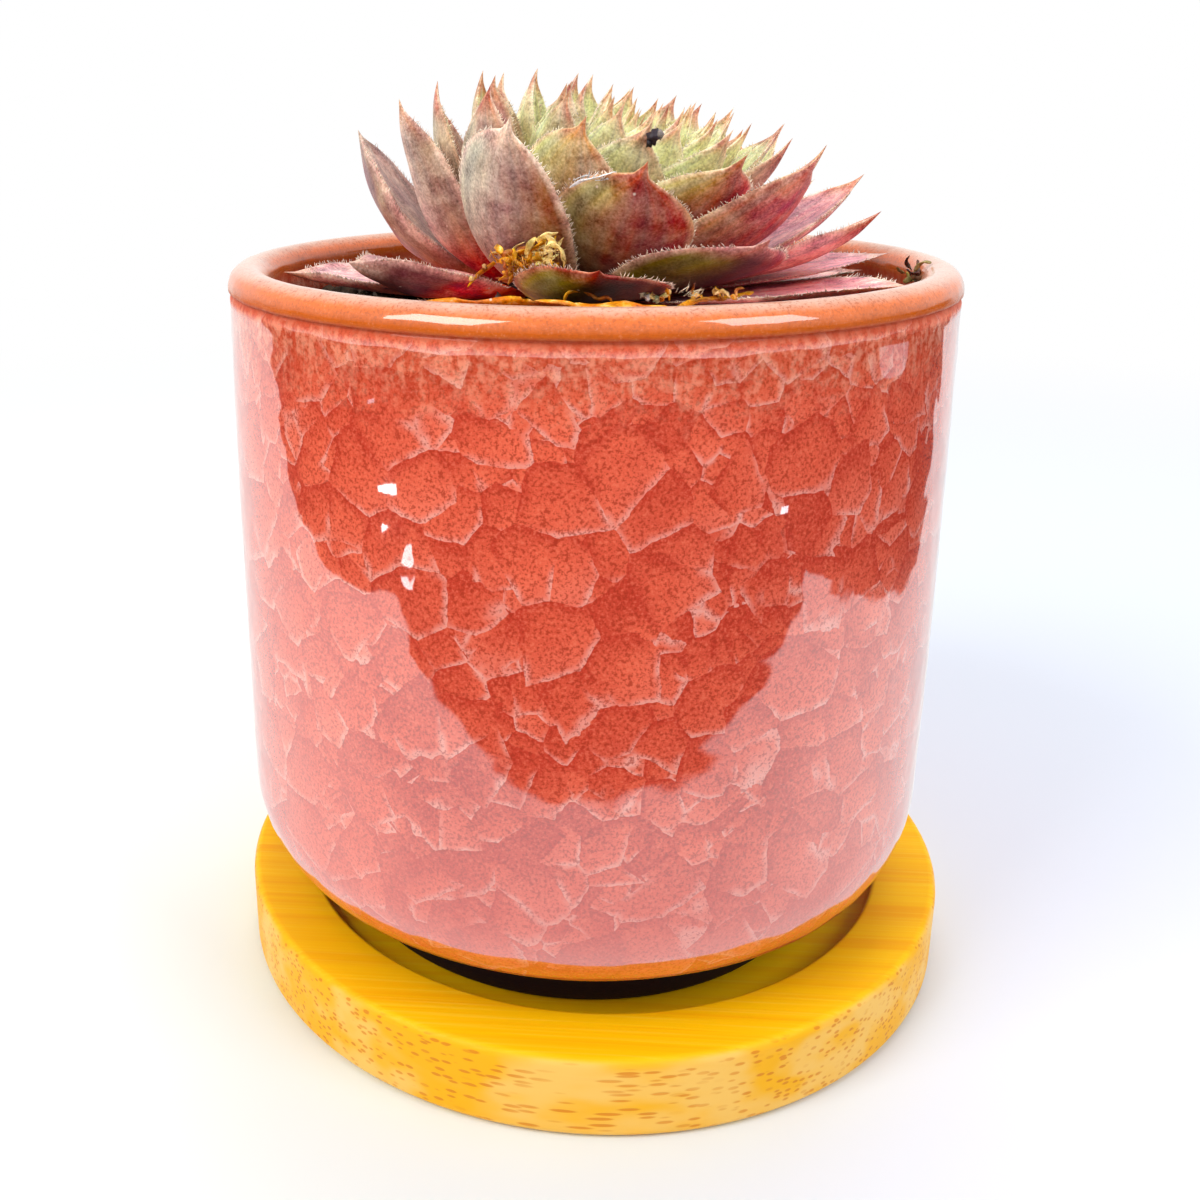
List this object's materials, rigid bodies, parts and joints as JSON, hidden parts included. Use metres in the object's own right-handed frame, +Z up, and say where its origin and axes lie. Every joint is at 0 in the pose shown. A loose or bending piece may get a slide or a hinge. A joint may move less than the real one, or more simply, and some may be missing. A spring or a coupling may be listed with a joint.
{
  "type": "potted houseleek",
  "caption": "Potted houseleek: a leaning rosette of pointed fleshy leaves in a straight round crackle-glazed pot with a rolled lip, standing in a round bamboo saucer.",
  "frame": {"origin": "centre of the saucer's flat underside, on the surface the object stands on", "axes": "+Z up; -Y is the front; the rosette leans towards +X"},
  "size_m": [0.0804, 0.0804, 0.0961],
  "materials": {
    "bamboo": "satin",
    "crackle_glaze": "gloss",
    "potting_soil": "matte",
    "stem_skin": "satin",
    "old_leaf_skin": "satin",
    "leaf_skin": "satin",
    "young_leaf_skin": "satin"
  },
  "bodies": {
    "root": {"saucer": "bamboo", "pot": "crackle_glaze", "soil": "potting_soil", "crown": "stem_skin", "leaf_01": "old_leaf_skin", "leaf_02": "old_leaf_skin", "leaf_03": "old_leaf_skin", "leaf_04": "old_leaf_skin", "leaf_05": "old_leaf_skin", "leaf_06": "old_leaf_skin", "leaf_07": "old_leaf_skin", "leaf_08": "old_leaf_skin", "leaf_09": "old_leaf_skin", "leaf_10": "old_leaf_skin", "leaf_11": "old_leaf_skin", "leaf_12": "leaf_skin", "leaf_13": "leaf_skin", "leaf_14": "leaf_skin", "leaf_15": "leaf_skin", "leaf_16": "leaf_skin", "leaf_17": "leaf_skin", "leaf_18": "leaf_skin", "leaf_19": "leaf_skin", "leaf_20": "leaf_skin", "leaf_21": "leaf_skin", "leaf_22": "leaf_skin", "leaf_23": "leaf_skin", "leaf_24": "leaf_skin", "leaf_25": "leaf_skin", "leaf_26": "leaf_skin", "leaf_27": "leaf_skin", "leaf_28": "leaf_skin", "leaf_29": "leaf_skin", "leaf_30": "young_leaf_skin", "leaf_31": "young_leaf_skin", "leaf_32": "young_leaf_skin", "leaf_33": "young_leaf_skin", "leaf_34": "young_leaf_skin", "leaf_35": "young_leaf_skin", "leaf_36": "young_leaf_skin", "leaf_37": "young_leaf_skin", "leaf_38": "young_leaf_skin", "leaf_39": "young_leaf_skin", "leaf_40": "young_leaf_skin", "leaf_41": "young_leaf_skin", "leaf_42": "young_leaf_skin", "leaf_43": "young_leaf_skin", "leaf_44": "young_leaf_skin", "leaf_45": "young_leaf_skin", "leaf_46": "young_leaf_skin", "leaf_47": "young_leaf_skin", "leaf_48": "young_leaf_skin", "leaf_49": "young_leaf_skin", "leaf_50": "young_leaf_skin", "leaf_51": "young_leaf_skin", "leaf_52": "young_leaf_skin", "leaf_53": "young_leaf_skin", "heart": "young_leaf_skin"}
  },
  "joints": []
}
